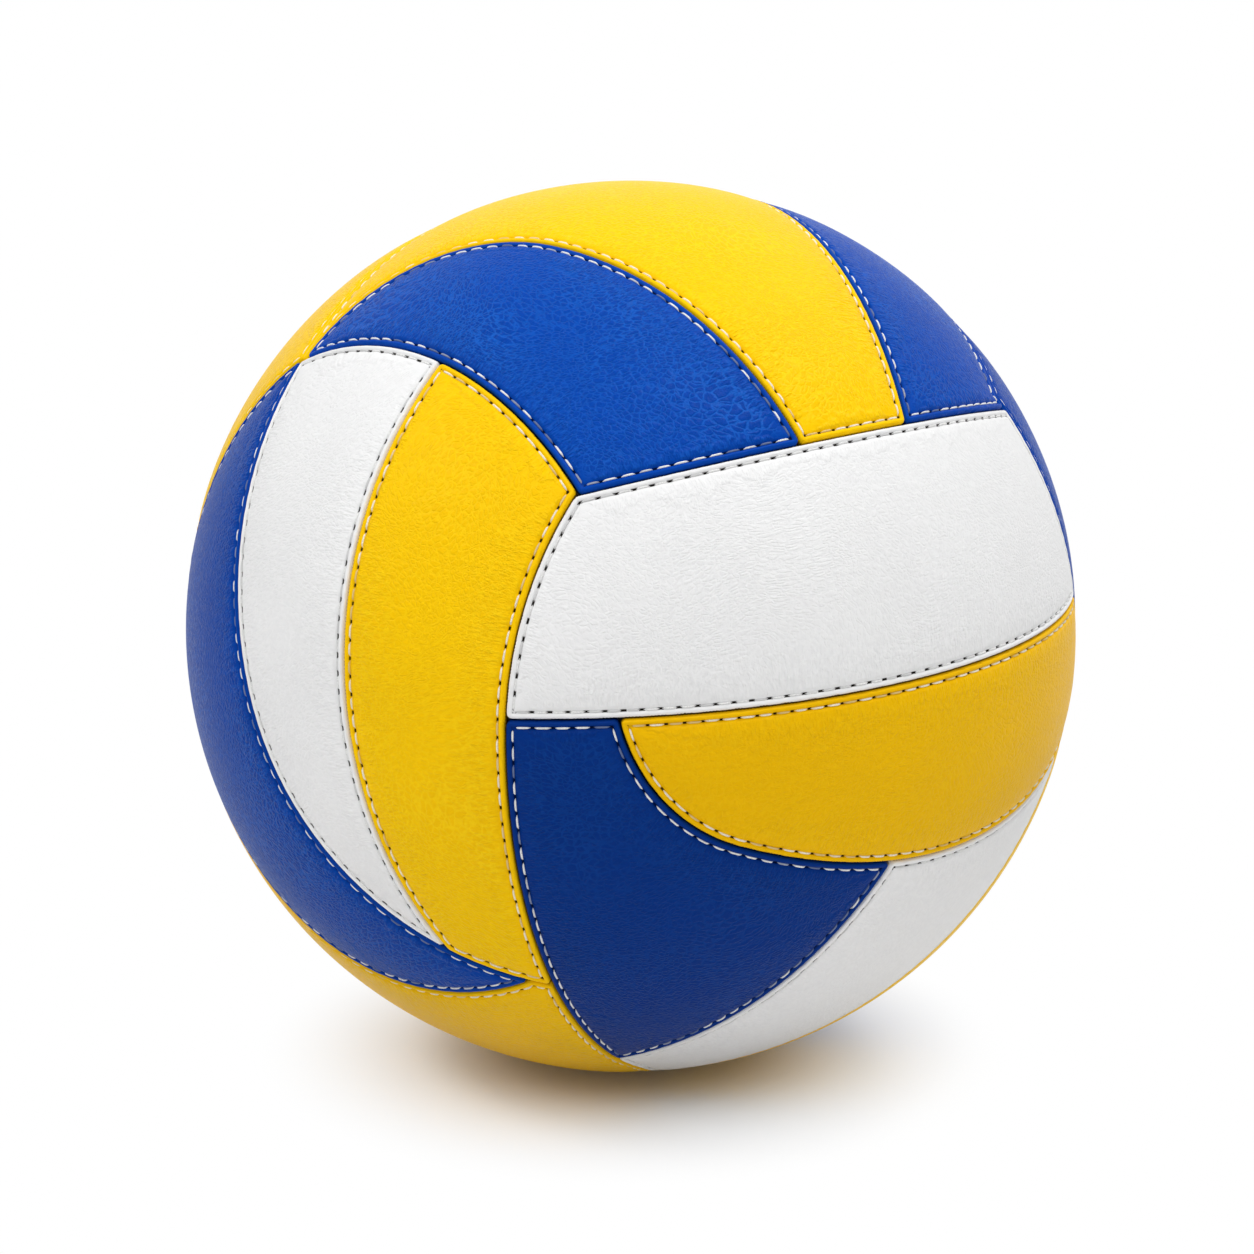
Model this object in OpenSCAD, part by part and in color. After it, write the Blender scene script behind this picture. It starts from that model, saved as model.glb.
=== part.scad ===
// Volleyball of eighteen leather panels in six groups of three, over a fabric lining and a rubber bladder.
// +Z is up and the origin is the ball's centre. Every seam follows circles drawn on the ball's surface.

/* [Ball] */
// Outside diameter of the inflated ball
ball_diameter = 210; // [200:1:215]

/* [Cover panels] */
// Thickness of the synthetic leather on top of the foam
skin_thickness = 1.4; // [1.1:0.1:2]
// Thickness of the foam pad in each panel
foam_thickness = 2; // [1:0.1:3]
// Width of the folded hem that frames each foam pad
hem_width = 3.5; // [3:0.1:5]
// Gap left between neighbouring panels at the bottom of a seam
seam_gap = 0.3; // [0.1:0.05:0.5]
// Distance from the seam at which the panel's edge starts to round off
edge_width = 1; // [0.8:0.1:1.2]
// Depth to which the panel's edge rounds off
edge_depth = 1.2; // [0.8:0.1:1.8]
// Clearance between a foam pad and the leather round it
foam_gap = 0.2; // [0.1:0.05:0.4]

/* [Topstitch] */
// Distance of the stitched line from the seam
stitch_inset = 1.8; // [1.8:0.1:2.4]
// Diameter of the thread
thread_width = 0.6; // [0.4:0.1:0.9]
// Clearance of the thread in its groove
thread_gap = 0.05; // [0.03:0.01:0.1]

/* [Inner layers] */
// Thickness of the fabric lining
lining_thickness = 0.8; // [0.5:0.1:1.5]
// Thickness of the rubber bladder
bladder_thickness = 1.2; // [0.8:0.1:2]
// Clearance between one layer and the next
layer_gap = 0.2; // [0.1:0.05:0.4]

/* [Valve] */
// Diameter of the hole for the inflating needle
needle_bore_diameter = 2; // [1.6:0.1:2.4]
// Depth of the straight needle hole below its mouth
needle_bore_depth = 13; // [8:0.5:15]
// Height of the funnel at the mouth of the needle hole
funnel_height = 0.8; // [0.4:0.1:1.2]
// Thickness of the closed lips below the needle hole
lip_thickness = 2; // [1:0.1:4]
// Diameter of the rubber core
core_diameter = 5.2; // [4.6:0.1:6]
// Wall of the housing round the core
housing_wall = 1.4; // [1:0.1:2.5]
// Diameter of the housing's flange inside the bladder
flange_diameter = 24; // [16:1:36]
// Thickness of the housing's flange
flange_thickness = 1.5; // [1:0.1:2.5]
// Width of the collar that lines the hole through the cover
collar_width = 1.6; // [1:0.1:3]
// Depth of the valve's mouth below the ball's surface
valve_recess = 0.3; // [0.1:0.05:0.6]
// Clearance between the valve's pieces
valve_gap = 0.1; // [0.05:0.01:0.2]

/* [Hidden] */
$fn = 120;
ball_radius = ball_diameter / 2;
foam_top = ball_radius - skin_thickness;
cover_inner = foam_top - foam_thickness;
lining_outer = cover_inner - layer_gap;
lining_inner = lining_outer - lining_thickness;
bladder_outer = lining_inner - layer_gap;
bladder_inner = bladder_outer - bladder_thickness;
groove_depth = thread_width + thread_gap;
groove_half_width = thread_width / 2 + thread_gap;
// Overrun of every cutting shape past the surface that it cuts
overrun = 1;

// Distance from the ball's centre to a point past every layer, for the cutting shapes
reach = ball_diameter * 2;
// Seams on a circle this wide or wider are cut square to the circle's axis, and tighter ones towards the centre
plane_cut_angle = 25;

// The valve's direction from the ball's centre: azimuth and elevation in degrees
valve_direction = [145, -5];
valve_top = ball_radius - valve_recess;
bore_radius = needle_bore_diameter / 2;
core_radius = core_diameter / 2;
housing_bore = core_radius + valve_gap;
housing_radius = housing_bore + housing_wall;
collar_bore = housing_radius + valve_gap;
collar_radius = collar_bore + collar_width;
cover_hole = collar_radius + valve_gap;
flange_top = bladder_inner - layer_gap;
core_length = funnel_height + needle_bore_depth + lip_thickness;
housing_floor = bladder_thickness;

// Seam circles: azimuth and elevation of the centre on the ball, then the angular radius, all in degrees.
// A seam that bends has a wide circle, a tight one, and a third that tells where the tight one takes over.
front_edge_wide = [-28, 0.5, 77];
front_edge_tight = [-55.5, 1.5, 49];
front_edge_split = [-20, -45, 88];
left_seam_1_wide = [-65.5, 23, 80];
left_seam_1_tight = [-91.5, 19.5, 55.5];
left_seam_1_split = [123, 67, 90];
left_seam_2 = [-58, 8.5, 68.5];
left_edge_top = [-136, -1.5, 49];
left_edge_back = [-129, 6, 46.5];
top_seam_1_wide = [-126, 3.5, 65.5];
top_seam_1_tight = [-123.5, 40, 28.5];
top_seam_1_split = [-36, -3, 90];
top_seam_2 = [26, -7.5, 78.5];
top_edge_front = [130.5, 69, 74.5];
front_seam_1 = [157, 87, 87];
front_seam_2_wide = [-44, 52.5, 71];
front_seam_2_tight = [-68.5, 9.5, 23];
front_seam_2_split = [18, -20, 90];
front_edge_base = [-134, 25, 88.5];
back_edge_top = [147, 8, 55.5];
back_seam_1 = [150, 88, 75];
back_seam_2 = [-162, -82, 62];
back_corner = [-164, -50.5, 41];
back_corner_side = [-110, 20, 76];
back_half = [150, -10, 80];
back_low_half = [-176, 0, 90];
right_edge_wide = [22, -45, 89];
right_edge_tight = [17.5, 0, 44];
right_edge_split = [107.5, 9.5, 90];
right_edge_front = [68, 17, 73];
right_edge_top = [57, 20, 67];
right_edge_back = [55, -5, 46];
right_edge_back_split = [-30, 0, 85];
right_seam_1 = [110, 5, 80];
right_seam_2 = [150, 0, 88];
base_seam_1 = [74.5, -26, 82];
base_seam_2 = [66, -12, 67];
base_seam_2_back = [90, 0, 75];
base_half = [0, -75, 85];

BLUE = "#0b3fa0";
YELLOW = "#f5c400";
WHITE = "#ececec";
PANELS = [
  ["left_1", BLUE],
  ["left_2", WHITE],
  ["left_3", YELLOW],
  ["top_1", BLUE],
  ["top_2", YELLOW],
  ["top_3", BLUE],
  ["front_1", WHITE],
  ["front_2", YELLOW],
  ["front_3", BLUE],
  ["back_1", YELLOW],
  ["back_2", WHITE],
  ["back_3", YELLOW],
  ["base_1", WHITE],
  ["base_2", YELLOW],
  ["base_3", BLUE],
  ["right_1", BLUE],
  ["right_2", YELLOW],
  ["right_3", WHITE],
];
VALVE_PANEL = "back_2";

function arc_angle(length) = length / ball_radius * 180 / PI;

// Turns its children's +Z towards a direction given as azimuth and elevation
module towards(direction) {
  rotate([0, 90 - direction[1], direction[0]])
    children();
}

// Everything within a seam circle, which first grows by a distance along the surface
module cap(circle, grow) {
  angle = circle[2] + arc_angle(grow);
  towards(circle)
    if (circle[2] < plane_cut_angle)
      cylinder(h = reach * cos(angle), r1 = 0, r2 = reach * sin(angle));
    else
      translate([-reach, -reach, ball_radius * cos(angle)])
        cube([2 * reach, 2 * reach, reach]);
}

// Everything within a seam that bends from a wide circle into a tight one
module bend(wide, tight, split, grow) {
  intersection() {
    cap(wide, grow);
    union() {
      cap(tight, grow);
      cap(split, 0);
    }
  }
}

module front_edge(grow) {
  bend(front_edge_wide, front_edge_tight, front_edge_split, grow);
}

module left_seam_1(grow) {
  bend(left_seam_1_wide, left_seam_1_tight, left_seam_1_split, grow);
}

module top_seam_1(grow) {
  bend(top_seam_1_wide, top_seam_1_tight, top_seam_1_split, grow);
}

module front_seam_2(grow) {
  bend(front_seam_2_wide, front_seam_2_tight, front_seam_2_split, grow);
}

module right_group(grow) {
  intersection() {
    bend(right_edge_wide, right_edge_tight, right_edge_split, grow);
    cap(right_edge_front, grow);
    cap(right_edge_top, grow);
    union() {
      cap(right_edge_back, grow);
      cap(right_edge_back_split, grow);
    }
  }
}

module back_top_group(grow) {
  difference() {
    cap(back_edge_top, grow);
    cap(left_edge_back, -grow);
  }
}

module back_low_panel(grow) {
  difference() {
    intersection() {
      union() {
        cap(back_corner, grow);
        cap(back_corner_side, grow);
      }
      cap(back_seam_2, grow);
    }
    front_edge(-grow);
    cap(left_edge_back, -grow);
  }
}

module back_middle_side(grow) {
  difference() {
    cap(back_low_half, 0);
    cap(back_seam_2, -grow);
  }
}

module base_seam_2(grow) {
  cap(base_seam_2, grow);
  cap(base_seam_2_back, grow);
}

// Hollow ball between two radii, with its poles on the X axis, where they lie inside panels
module shell(outer, inner) {
  rotate([0, 90, 0])
    difference() {
      sphere(outer);
      sphere(inner);
    }
}

// One panel's share of the shell between two radii, drawn in from its seams by an inset
module patch(panel, outer, inner, inset) {
  if (panel == "left_1")
    difference() {
      intersection() {
        shell(outer, inner);
        cap(left_edge_back, -inset);
      }
      left_seam_1(inset);
    }
  if (panel == "left_2")
    difference() {
      intersection() {
        shell(outer, inner);
        left_seam_1(-inset);
        cap(left_edge_top, -inset);
      }
      cap(left_seam_2, inset);
      back_top_group(inset);
    }
  if (panel == "left_3")
    difference() {
      intersection() {
        shell(outer, inner);
        left_seam_1(-inset);
        cap(left_seam_2, -inset);
        cap(left_edge_top, -inset);
      }
      front_edge(inset);
    }
  if (panel == "top_1")
    difference() {
      intersection() {
        shell(outer, inner);
        top_seam_1(-inset);
        cap(top_edge_front, -inset);
      }
      cap(left_edge_top, inset);
      cap(back_edge_top, inset);
    }
  if (panel == "top_2")
    difference() {
      intersection() {
        shell(outer, inner);
        cap(top_edge_front, -inset);
      }
      top_seam_1(inset);
      cap(top_seam_2, inset);
      cap(back_edge_top, inset);
      cap(left_edge_top, inset);
    }
  if (panel == "top_3")
    difference() {
      intersection() {
        shell(outer, inner);
        cap(top_seam_2, -inset);
        cap(top_edge_front, -inset);
      }
      right_group(inset);
      cap(back_edge_top, inset);
    }
  if (panel == "front_1")
    difference() {
      intersection() {
        shell(outer, inner);
        cap(front_seam_1, -inset);
        front_edge(-inset);
      }
      cap(top_edge_front, inset);
      right_group(inset);
    }
  if (panel == "front_2")
    difference() {
      intersection() {
        shell(outer, inner);
        front_seam_2(-inset);
      }
      cap(front_seam_1, inset);
      right_group(inset);
    }
  if (panel == "front_3")
    difference() {
      intersection() {
        shell(outer, inner);
        front_edge(-inset);
        cap(front_edge_base, -inset);
      }
      cap(front_seam_1, inset);
      front_seam_2(inset);
    }
  if (panel == "back_1")
    difference() {
      intersection() {
        shell(outer, inner);
        back_top_group(-inset);
        cap(back_seam_1, -inset);
      }
      right_group(inset);
    }
  if (panel == "back_2")
    difference() {
      intersection() {
        shell(outer, inner);
        cap(back_half, 0);
      }
      cap(back_seam_1, inset);
      cap(back_seam_2, inset);
      cap(left_edge_back, inset);
      right_group(inset);
    }
  if (panel == "back_3")
    difference() {
      intersection() {
        shell(outer, inner);
        back_low_panel(-inset);
      }
      left_seam_1(inset);
    }
  if (panel == "base_1")
    difference() {
      intersection() {
        shell(outer, inner);
        cap(base_half, 0);
      }
      cap(front_edge_base, inset);
      cap(base_seam_1, inset);
      front_seam_2(inset);
      back_low_panel(inset);
    }
  if (panel == "base_2")
    difference() {
      intersection() {
        shell(outer, inner);
        cap(base_seam_1, -inset);
        cap(base_half, 0);
      }
      base_seam_2(inset);
      front_seam_2(inset);
      back_low_panel(inset);
      right_group(inset);
      back_middle_side(inset);
    }
  if (panel == "base_3")
    difference() {
      intersection() {
        shell(outer, inner);
        union() base_seam_2(-inset);
        cap(base_half, 0);
      }
      front_seam_2(inset);
      back_low_panel(inset);
      right_group(inset);
      back_middle_side(inset);
    }
  if (panel == "right_1")
    difference() {
      intersection() {
        shell(outer, inner);
        right_group(-inset);
      }
      cap(right_seam_1, inset);
    }
  if (panel == "right_2")
    difference() {
      intersection() {
        shell(outer, inner);
        right_group(-inset);
        cap(right_seam_1, -inset);
      }
      cap(right_seam_2, inset);
    }
  if (panel == "right_3")
    intersection() {
      shell(outer, inner);
      right_group(-inset);
      cap(right_seam_2, -inset);
    }
}

// A band that follows a panel's outline, between two insets and two radii
module band(panel, outer, inner, near, far) {
  difference() {
    patch(panel, outer, inner, near);
    patch(panel, outer + overrun, inner - overrun, far);
  }
}

// Round hole along the valve's axis through one layer
module valve_hole(radius) {
  towards(valve_direction)
    cylinder(h = reach, r = radius);
}

// Leather panel: a skin over the foam, a folded hem round it, a rounded edge and a groove for the thread
module cover(panel, colour) {
  color(colour)
    difference() {
      patch(panel, ball_radius, cover_inner, seam_gap / 2);
      patch(panel, foam_top, cover_inner - overrun, hem_width);
      band(panel, ball_radius + overrun, ball_radius - edge_depth, 0, edge_width / 2);
      band(panel, ball_radius + overrun, ball_radius - edge_depth / 3, 0, edge_width);
      band(
        panel, ball_radius + overrun, ball_radius - groove_depth,
        stitch_inset - groove_half_width, stitch_inset + groove_half_width
      );
      if (panel == VALVE_PANEL)
        valve_hole(cover_hole);
    }
}

// Foam pad inside the hem
module foam(panel) {
  color("ivory")
    difference() {
      patch(panel, foam_top - foam_gap, cover_inner, hem_width + foam_gap);
      if (panel == VALVE_PANEL)
        valve_hole(cover_hole);
    }
}

// Thread laid in the groove, once round the panel
module topstitch(panel) {
  color("white")
    band(
      panel, ball_radius - thread_gap, ball_radius - thread_width,
      stitch_inset - thread_width / 2, stitch_inset + thread_width / 2
    );
}

module lining() {
  color("gainsboro")
    difference() {
      shell(lining_outer, lining_inner);
      valve_hole(collar_bore);
    }
}

module bladder() {
  color("#303030")
    difference() {
      shell(bladder_outer, bladder_inner);
      valve_hole(collar_bore);
    }
}

// Rubber tube with a flange inside the bladder, holding the core
module valve_housing() {
  bottom = valve_top - core_length - valve_gap - housing_floor;
  color("#202020")
    difference() {
      union() {
        towards(valve_direction)
          translate([0, 0, bottom])
            cylinder(h = valve_top - bottom, r = housing_radius);
        intersection() {
          shell(flange_top, flange_top - flange_thickness);
          towards(valve_direction)
            cylinder(h = reach, r = flange_diameter / 2);
        }
      }
      towards(valve_direction)
        translate([0, 0, bottom + housing_floor])
          cylinder(h = reach, r = housing_bore);
    }
}

// Rubber plug with the needle hole, a funnel at its mouth and closed lips below
module valve_core() {
  color("#3a3a3a")
    towards(valve_direction)
      difference() {
        translate([0, 0, valve_top - core_length])
          cylinder(h = core_length, r = core_radius);
        translate([0, 0, valve_top - funnel_height - needle_bore_depth])
          cylinder(h = needle_bore_depth + funnel_height + overrun, r = bore_radius);
        translate([0, 0, valve_top - funnel_height])
          cylinder(h = 2 * funnel_height, r1 = bore_radius, r2 = 3 * bore_radius);
      }
}

// Ring that lines the hole through the cover
module valve_collar() {
  color("#202020")
    difference() {
      intersection() {
        shell(ball_radius - valve_recess, cover_inner);
        towards(valve_direction)
          cylinder(h = reach, r = collar_radius);
      }
      valve_hole(collar_bore);
    }
}

for (panel = PANELS) {
  cover(panel[0], panel[1]);
  foam(panel[0]);
  topstitch(panel[0]);
}
lining();
bladder();
valve_housing();
valve_core();
valve_collar();
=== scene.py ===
import math

import bpy
import numpy as np
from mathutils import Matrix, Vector
from mathutils.geometry import delaunay_2d_cdt

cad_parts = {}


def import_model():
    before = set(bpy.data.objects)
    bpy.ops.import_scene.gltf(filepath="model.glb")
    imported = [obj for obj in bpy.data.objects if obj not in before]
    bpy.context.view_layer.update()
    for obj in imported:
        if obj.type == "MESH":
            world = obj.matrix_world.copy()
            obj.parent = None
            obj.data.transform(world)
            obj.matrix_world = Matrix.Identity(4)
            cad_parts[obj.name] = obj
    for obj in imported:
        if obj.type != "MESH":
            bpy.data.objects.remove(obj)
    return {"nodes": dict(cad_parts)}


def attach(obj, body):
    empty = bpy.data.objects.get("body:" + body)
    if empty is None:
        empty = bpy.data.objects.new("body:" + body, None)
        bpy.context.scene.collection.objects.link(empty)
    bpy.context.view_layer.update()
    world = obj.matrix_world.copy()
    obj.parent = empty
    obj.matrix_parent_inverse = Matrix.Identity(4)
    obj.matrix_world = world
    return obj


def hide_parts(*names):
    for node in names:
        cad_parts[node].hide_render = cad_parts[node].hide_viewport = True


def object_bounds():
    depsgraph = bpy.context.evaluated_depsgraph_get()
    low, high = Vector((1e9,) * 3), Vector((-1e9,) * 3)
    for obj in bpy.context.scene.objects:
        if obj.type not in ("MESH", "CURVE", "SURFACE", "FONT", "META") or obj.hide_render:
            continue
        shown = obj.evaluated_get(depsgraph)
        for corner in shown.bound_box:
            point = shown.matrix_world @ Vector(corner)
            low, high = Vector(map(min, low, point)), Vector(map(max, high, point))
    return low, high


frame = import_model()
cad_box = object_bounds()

# Sizes are in millimetres and become metres where a mesh is made
MM = 0.001
BALL_RADIUS = (cad_box[1][2] - cad_box[0][2]) / 2 / MM

# Seam circles, as azimuth and elevation of the centre and angular radius, in degrees
FRONT_EDGE = [(-28, 0.5, 77), (-55.5, 1.5, 49), (-20, -45, 88)]
LEFT_SEAM_1 = [(-65.5, 23, 80), (-91.5, 19.5, 55.5), (123, 67, 90)]
LEFT_SEAM_2 = (-58, 8.5, 68.5)
LEFT_EDGE_TOP = (-136, -1.5, 49)
LEFT_EDGE_BACK = (-129, 6, 46.5)
TOP_SEAM_1 = [(-126, 3.5, 65.5), (-123.5, 40, 28.5), (-36, -3, 90)]
TOP_SEAM_2 = (26, -7.5, 78.5)
TOP_EDGE_FRONT = (130.5, 69, 74.5)
FRONT_SEAM_1 = (157, 87, 87)
FRONT_SEAM_2 = [(-44, 52.5, 71), (-68.5, 9.5, 23), (18, -20, 90)]
FRONT_EDGE_BASE = (-134, 25, 88.5)
BACK_EDGE_TOP = (147, 8, 55.5)
BACK_SEAM_1 = (150, 88, 75)
BACK_SEAM_2 = (-162, -82, 62)
BACK_CORNER = (-164, -50.5, 41)
BACK_CORNER_SIDE = (-110, 20, 76)
BACK_HALF = (150, -10, 80)
BACK_LOW_HALF = (-176, 0, 90)
RIGHT_EDGE = [(22, -45, 89), (17.5, 0, 44), (107.5, 9.5, 90)]
RIGHT_EDGE_FRONT = (68, 17, 73)
RIGHT_EDGE_TOP = (57, 20, 67)
RIGHT_EDGE_BACK = (55, -5, 46)
RIGHT_EDGE_BACK_SPLIT = (-30, 0, 85)
RIGHT_SEAM_1 = (110, 5, 80)
RIGHT_SEAM_2 = (150, 0, 88)
BASE_SEAM_1 = (74.5, -26, 82)
BASE_SEAM_2 = (66, -12, 67)
BASE_SEAM_2_BACK = (90, 0, 75)
BASE_HALF = (0, -75, 85)

# A distance beyond any on the ball
FAR = 1e6

# Share of painted shade in the panels that fall darker in the light, laid on as the darker tone
PAINTED_SHADE = {
    "front_3": 0.75, "front_2": 0.55, "base_3": 0.4, "back_3": 0.3,
    "left_1": 0.25, "right_1": 0.2, "left_3": 0.1,
}

# The hole for the valve: its place, radius, rings of vertices round it and how the leather sinks towards it
VALVE_DIRECTION = (145, -5)
VALVE_PANEL = "back_2"
VALVE_HOLE = 5.9
VALVE_RINGS = (0.3, 0.7, 1.2)
VALVE_RING_SPACING = 0.5
VALVE_CLEARING = 1.6
VALVE_SINK_DEPTH = 0.5
VALVE_SINK_WIDTH = 0.6

# Section across a panel's edge: distance from the seam, height over the ball's radius, vertex spacing.
# It has the wall in the seam, the rolled hem, the stitches' channel and the rise to the middle
SECTION = [
    (0.1, -2.3, 0.8), (0.18, -1.15, 0.8), (0.3, -0.7, 0.7), (0.47, -0.46, 0.7),
    (0.7, -0.32, 0.6), (0.95, -0.28, 0.6), (1.15, -0.32, 0.5), (1.32, -0.43, 0.45),
    (1.48, -0.58, 0.36), (1.62, -0.68, 0.36), (1.75, -0.71, 0.36), (1.88, -0.68, 0.36),
    (2.05, -0.57, 0.4), (2.3, -0.45, 0.45), (2.6, -0.37, 0.5), (3.0, -0.32, 0.6),
    (3.6, -0.27, 0.7), (4.5, -0.22, 0.9), (5.6, -0.17, 1.2), (7.2, -0.12, 1.5),
]
CROWN = [(10, -0.05), (15, 0)]

# The outline lies at the section's first row. Places nearer to each other than SAME_PLACE count as one
EDGE_INSET = SECTION[0][0]
EDGE_CLEARANCE = 0.06
CENTRE_START = SECTION[-1][0] + 0.8
CENTRE_SPACING = 1.9
PANEL_FLOOR = -3.3
FLOOR_START = 3
FLOOR_SPACING = 9
SAME_PLACE = 0.05

# Rounding of the corners that open less than CORNER_OPENING degrees. A fillet reaches at most CORNER_REACH
# along each side, and at most CORNER_SHARE of the way to another corner
CORNER_OPENING = 160
CORNER_RADIUS = 1.2
CORNER_REACH = 1.6
CORNER_SHARE = 0.45
CORNER_SPACING = 0.2
CORNER_EXTENT = 8
CORNER_CLEARING = 1.02

# The stitches, and the puckers and holes that they pull into the leather
STITCH_INSET = 1.75
STITCH_PITCH = 4.0
STITCH_LENGTH = 3.2
STITCH_HEIGHT = -0.61
STITCH_DIVE = 0.45
STITCH_TIP = 0.1
STITCH_AIM = 0.04
STITCH_LENGTH_CHANGE = (-0.3, 0.2)
STITCH_PHASE_CHANGE = (-0.02, 0.02)
STITCH_HEIGHT_CHANGE = (-0.07, 0.04)
STITCH_SIDE_CHANGE = (-0.05, 0.05)
THREAD_RADIUS = 0.25
THREAD_TAPER = 0.9
THREAD_THINNEST = 0.05
PUCKER_DEPTH = 0.12
PUCKER_OFFSET = 0.5
PUCKER_WIDTH = 1.5
PIT_DEPTH = 0.35
PIT_LENGTH = 0.7
PIT_WIDTH = 0.28
RNG = np.random.default_rng(18)

# The photograph's view, with the ball's place and size in its pixels
IMAGE_SIDE = 1254
BALL_CENTRE_PIXEL = (630.8, 626.5)
BALL_RADIUS_PIXELS = 446
CAMERA_ELEVATION = 15
CAMERA_DISTANCE_IN_RADII = 10

# Light: the world's level, and each lamp's place and diameter in metres and its power in watts
WORLD_LIGHT = 0.55
LAMPS = {
    "overhead": ((0.42, -0.14, 1.36), 0.32, 7.0),
    "left": ((-1.0, -0.3, 1.05), 0.35, 4.3),
    "right": ((0.69, 0.53, 1.1), 0.3, 2.6),
    "front": ((-0.1, -1.27, 1.3), 1.0, 5.5),
}


def direction(azimuth, elevation):
    a, e = math.radians(azimuth), math.radians(elevation)
    return np.array([math.cos(a) * math.cos(e), math.sin(a) * math.cos(e), math.sin(e)])


def frame_of(axis):
    """Two unit vectors square to an axis and to each other."""
    side = np.cross(axis, [0.0, 0.0, 1.0] if abs(axis[2]) < 0.9 else [1.0, 0.0, 0.0])
    side /= np.linalg.norm(side)
    return side, np.cross(axis, side)


def circle_point(circle, grow, turn):
    """Unit vectors on a seam circle that has grown by a distance in mm, at angles turn round it."""
    axis = direction(*circle[:2])
    e1, e2 = frame_of(axis)
    radius = math.radians(circle[2]) + grow / BALL_RADIUS
    t = np.asarray(turn)[..., None]
    return math.cos(radius) * axis + math.sin(radius) * (np.cos(t) * e1 + np.sin(t) * e2)


class Zone:
    """Part of the ball. Distance is the way to its edge in mm, positive inside; circles are its edges."""

    def __init__(self, distance, circles):
        self.distance = distance
        self.circles = circles


def cap(circle):
    """All that lies inside a seam circle."""
    centre = direction(*circle[:2])
    radius = math.radians(circle[2])
    return Zone(lambda p: (radius - np.arccos(np.clip(p @ centre, -1, 1))) * BALL_RADIUS, [circle])


def half(circle):
    """As cap, but its circle is no seam: it only tells the two sides apart."""
    inside = cap(circle).distance
    return Zone(lambda p: np.where(inside(p) > 0, FAR, -FAR), [])


def all_circles(zones):
    return [circle for zone in zones for circle in zone.circles]


def both(*zones):
    return Zone(lambda p: np.min([z.distance(p) for z in zones], axis=0), all_circles(zones))


def either(*zones):
    return Zone(lambda p: np.max([z.distance(p) for z in zones], axis=0), all_circles(zones))


def outside(zone):
    return Zone(lambda p: -zone.distance(p), zone.circles)


def bend(wide, tight, split):
    """An edge that turns smoothly from one circle to a tighter one where it meets the split.

    The wide circle crosses the split twice, and the joint is the crossing on the tight circle's side. The
    tight circle keeps its radius, and its centre is put where the two circles touch at the joint.
    """
    axis, tight_axis = direction(*wide[:2]), direction(*tight[:2])
    samples = 40001
    tight_side = 60
    edge = circle_point(wide, 0, np.linspace(0, 2 * math.pi, samples))
    near = np.arccos(np.clip(edge @ tight_axis, -1, 1)) * BALL_RADIUS
    other_side = np.where(near < near.min() + tight_side, 0, FAR)
    joint = edge[np.argmin(np.abs(cap(split).distance(edge)) + other_side)]
    towards = axis - (axis @ joint) * joint
    towards /= np.linalg.norm(towards)
    radius = math.radians(tight[2])
    x, y, z = math.cos(radius) * joint + math.sin(radius) * towards
    fitted = (math.degrees(math.atan2(y, x)), math.degrees(math.asin(z)), tight[2])
    return both(cap(wide), either(cap(fitted), half(split)))


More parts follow.
